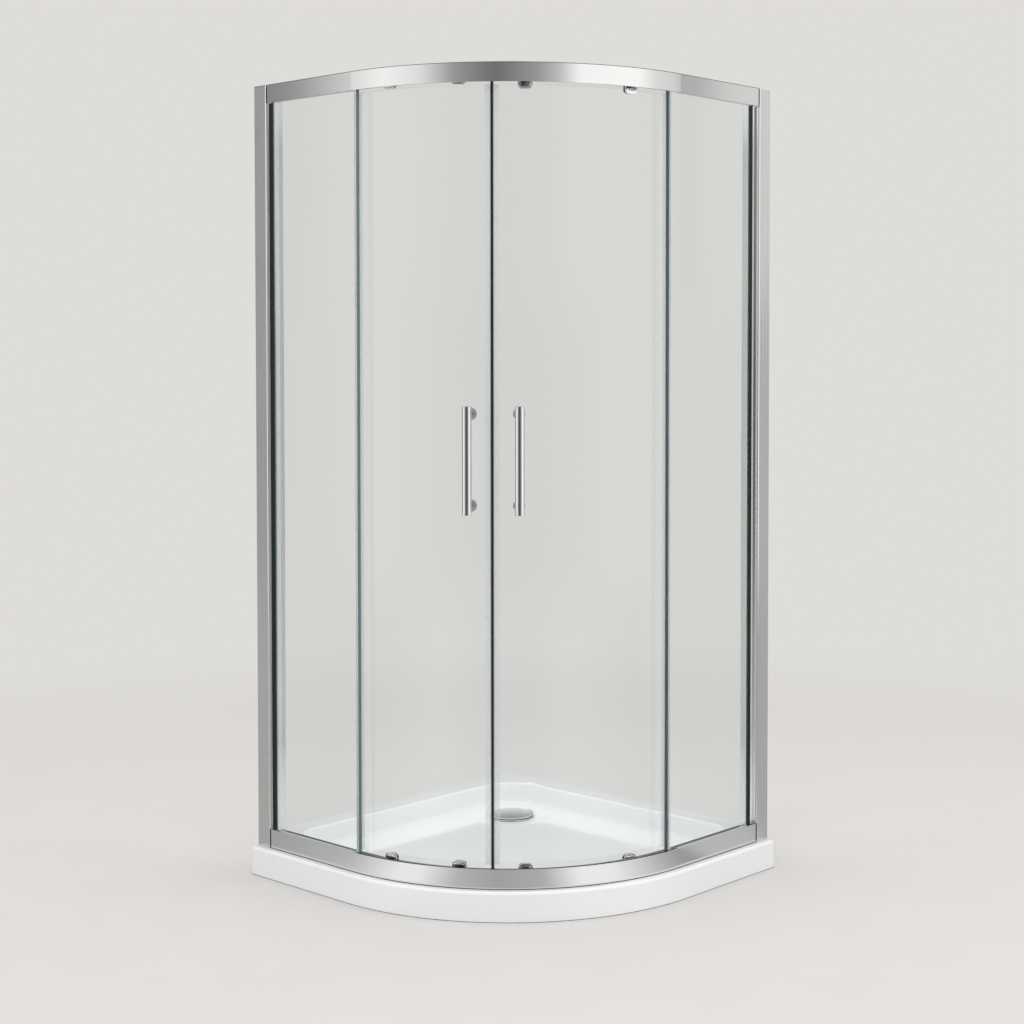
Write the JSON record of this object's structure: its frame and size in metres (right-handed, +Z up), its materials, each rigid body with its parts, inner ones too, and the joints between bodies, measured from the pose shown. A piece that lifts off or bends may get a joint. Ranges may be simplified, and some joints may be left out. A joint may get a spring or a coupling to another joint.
{
  "type": "quadrant shower enclosure",
  "caption": "Quarter-round shower enclosure on a low tray, with flat fixed panels, curved sliding glass doors, bar handles, rollers in curved rails and a lift-out waste cover.",
  "frame": {"origin": "on the floor, under the middle of the square that encloses the tray", "axes": "+Z up; the walls are the planes x = -0.45 m and y = +0.45 m; the curved front faces +X and -Y"},
  "size_m": [0.9, 0.9, 1.8956],
  "materials": {
    "tray_white": "gloss white acrylic-capped resin",
    "polished_aluminium": "bright polished and anodised",
    "plain_aluminium": "mill finish",
    "clear_glass": "clear toughened glass, polished edges",
    "clear_seal": "clear flexible PVC",
    "black_magnet": "black magnetic strip",
    "chrome": "bright chrome plate",
    "steel": "stainless steel",
    "rubber": "black rubber",
    "grey_plastic": "light grey moulded plastic",
    "nylon": "white nylon"
  },
  "bodies": {
    "frame": {"shower_tray": "tray_white", "waste_flange": "chrome", "waste_gaskets": "rubber", "waste_body": "grey_plastic", "top_rail": "polished_aluminium", "bottom_rail": "polished_aluminium", "bed_seal": "clear_seal", "jamb_screws": "steel", "top_connectors": "grey_plastic", "bottom_connectors": "grey_plastic", "connector_screws": "steel", "lower_glazing_gaskets": "clear_seal", "upper_glazing_gaskets": "clear_seal", "track_buffers": "rubber", "wall_channel_left": "plain_aluminium", "wall_channel_right": "plain_aluminium", "jamb_left": "polished_aluminium", "jamb_right": "polished_aluminium", "jamb_seal_left": "clear_seal", "jamb_seal_right": "clear_seal", "jamb_cap_left": "chrome", "jamb_cap_right": "chrome", "fixed_glass_left": "clear_glass", "fixed_glass_right": "clear_glass", "edge_seal_left": "clear_seal", "edge_seal_right": "clear_seal"},
    "waste_cover": {"waste_cover": "chrome", "waste_dip_tube": "grey_plastic"},
    "door_left": {"door_glass_left": "clear_glass", "magnet_strip_left": "black_magnet", "magnet_carrier_left": "clear_seal", "rear_seal_left": "clear_seal", "glass_clamps_left": "chrome", "roller_hangers_left": "chrome", "roller_axles_left": "steel", "clamp_screws_left": "steel", "handle_bar_left": "chrome", "handle_posts_left": "chrome", "handle_roses_left": "chrome", "handle_caps_left": "chrome"},
    "top_lead_wheel_left": {"top_lead_wheel_left": "nylon"},
    "top_tail_wheel_left": {"top_tail_wheel_left": "nylon"},
    "bottom_lead_wheel_left": {"bottom_lead_wheel_left": "nylon"},
    "bottom_tail_wheel_left": {"bottom_tail_wheel_left": "nylon"},
    "door_right": {"door_glass_right": "clear_glass", "magnet_strip_right": "black_magnet", "magnet_carrier_right": "clear_seal", "rear_seal_right": "clear_seal", "glass_clamps_right": "chrome", "roller_hangers_right": "chrome", "roller_axles_right": "steel", "clamp_screws_right": "steel", "handle_bar_right": "chrome", "handle_posts_right": "chrome", "handle_roses_right": "chrome", "handle_caps_right": "chrome"},
    "top_lead_wheel_right": {"top_lead_wheel_right": "nylon"},
    "top_tail_wheel_right": {"top_tail_wheel_right": "nylon"},
    "bottom_lead_wheel_right": {"bottom_lead_wheel_right": "nylon"},
    "bottom_tail_wheel_right": {"bottom_tail_wheel_right": "nylon"}
  },
  "joints": [
    {"name": "door_left_slide", "type": "hinge", "parent": "frame", "child": "door_left", "pos_m": [-0.13325, 0.20111, 1], "axis": [0, 0, -1], "range_deg": [0, 18.87]},
    {"name": "top_lead_wheel_left_spin", "type": "hinge", "parent": "door_left", "child": "top_lead_wheel_left", "pos_m": [0.13961, -0.31995, 1.88155], "axis": [0.4956, -0.8686, 0], "range_deg": [-1300, 1300]},
    {"name": "top_tail_wheel_left_spin", "type": "hinge", "parent": "door_left", "child": "top_tail_wheel_left", "pos_m": [-0.013, -0.37561, 1.88155], "axis": [0.1799, -0.9837, 0], "range_deg": [-1300, 1300]},
    {"name": "bottom_lead_wheel_left_spin", "type": "hinge", "parent": "door_left", "child": "bottom_lead_wheel_left", "pos_m": [0.13961, -0.31995, 0.08855], "axis": [0.4956, -0.8686, 0], "range_deg": [-1300, 1300]},
    {"name": "bottom_tail_wheel_left_spin", "type": "hinge", "parent": "door_left", "child": "bottom_tail_wheel_left", "pos_m": [-0.013, -0.37561, 0.08855], "axis": [0.1799, -0.9837, 0], "range_deg": [-1300, 1300]},
    {"name": "door_right_slide", "type": "hinge", "parent": "frame", "child": "door_right", "pos_m": [-0.13455, 0.12047, 1], "axis": [0, 0, 1], "range_deg": [0, 23.1]},
    {"name": "top_lead_wheel_right_spin", "type": "hinge", "parent": "door_right", "child": "top_lead_wheel_right", "pos_m": [0.25275, -0.23067, 1.88155], "axis": [0.7296, -0.6839, 0], "range_deg": [-1300, 1300]},
    {"name": "top_tail_wheel_right_spin", "type": "hinge", "parent": "door_right", "child": "top_tail_wheel_right", "pos_m": [0.36781, -0.02218, 1.88155], "axis": [0.9675, -0.2527, 0], "range_deg": [-1300, 1300]},
    {"name": "bottom_lead_wheel_right_spin", "type": "hinge", "parent": "door_right", "child": "bottom_lead_wheel_right", "pos_m": [0.25275, -0.23067, 0.08855], "axis": [0.7296, -0.6839, 0], "range_deg": [-1300, 1300]},
    {"name": "bottom_tail_wheel_right_spin", "type": "hinge", "parent": "door_right", "child": "bottom_tail_wheel_right", "pos_m": [0.36781, -0.02218, 0.08855], "axis": [0.9675, -0.2527, 0], "range_deg": [-1300, 1300]},
    {"name": "waste_cover_lift", "type": "slide", "parent": "frame", "child": "waste_cover", "axis": [0, 0, 1], "range_m": [0, 0.06]}
  ],
  "couplings": [
    {"joint": "top_lead_wheel_left_spin", "follows": "door_left_slide", "ratio": 53.471},
    {"joint": "top_tail_wheel_left_spin", "follows": "door_left_slide", "ratio": 53.557},
    {"joint": "bottom_lead_wheel_left_spin", "follows": "door_left_slide", "ratio": -53.471},
    {"joint": "bottom_tail_wheel_left_spin", "follows": "door_left_slide", "ratio": -53.557},
    {"joint": "top_lead_wheel_right_spin", "follows": "door_right_slide", "ratio": -47.525},
    {"joint": "top_tail_wheel_right_spin", "follows": "door_right_slide", "ratio": -47.474},
    {"joint": "bottom_lead_wheel_right_spin", "follows": "door_right_slide", "ratio": 47.525},
    {"joint": "bottom_tail_wheel_right_spin", "follows": "door_right_slide", "ratio": 47.474}
  ]
}
